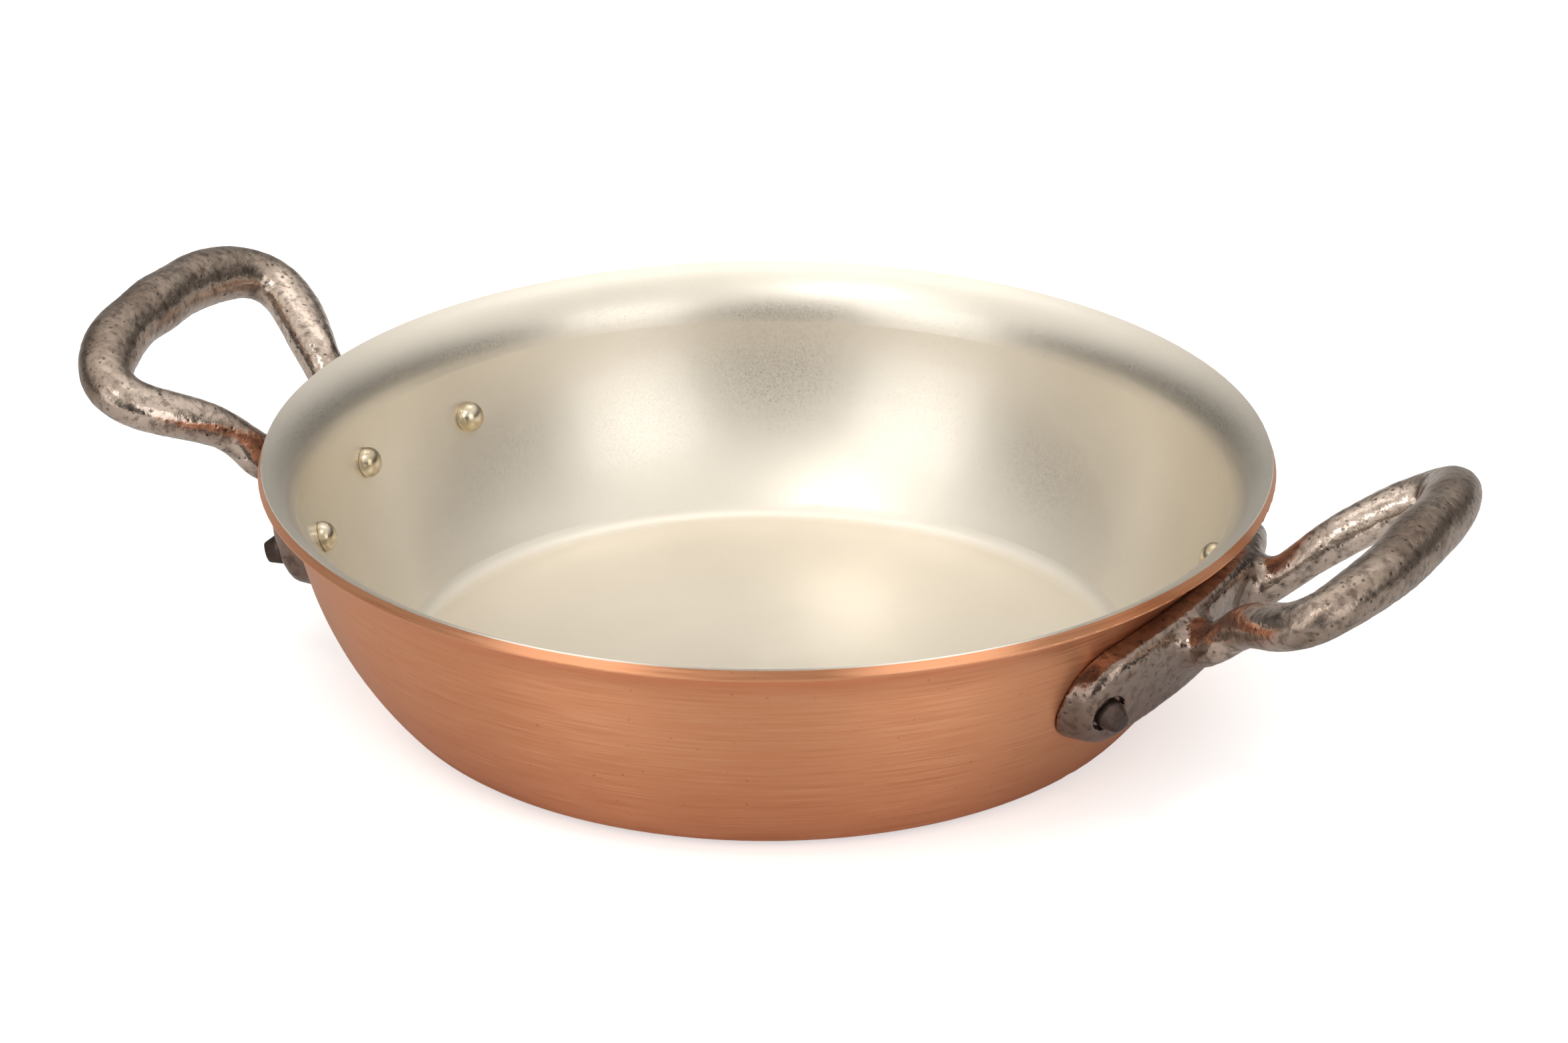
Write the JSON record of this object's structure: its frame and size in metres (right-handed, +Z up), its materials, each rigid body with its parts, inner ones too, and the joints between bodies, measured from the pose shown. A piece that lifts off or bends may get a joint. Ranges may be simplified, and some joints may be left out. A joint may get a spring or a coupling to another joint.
{
  "type": "two-handled round pan",
  "caption": "Low round copper pan with a steel lining, a flared rim and two riveted cast iron loop handles.",
  "frame": {"origin": "centre of the underside of the base", "axes": "+Z up out of the pan, handles on +X and -X, each turned 1.25 degrees towards -Y"},
  "size_m": [0.2846, 0.1998, 0.0633],
  "materials": {
    "copper": "satin brushed copper",
    "lining": "satin brushed stainless steel",
    "iron": "raw cast iron, slightly pitted and glossy",
    "rivet": "polished nickel steel head, dark tail"
  },
  "bodies": {
    "root": {"copper_shell": "copper", "steel_lining": "lining", "handle_right": "iron", "handle_left": "iron", "rivet_right_near": "rivet", "rivet_right_middle": "rivet", "rivet_right_far": "rivet", "rivet_left_near": "rivet", "rivet_left_middle": "rivet", "rivet_left_far": "rivet"}
  },
  "joints": []
}
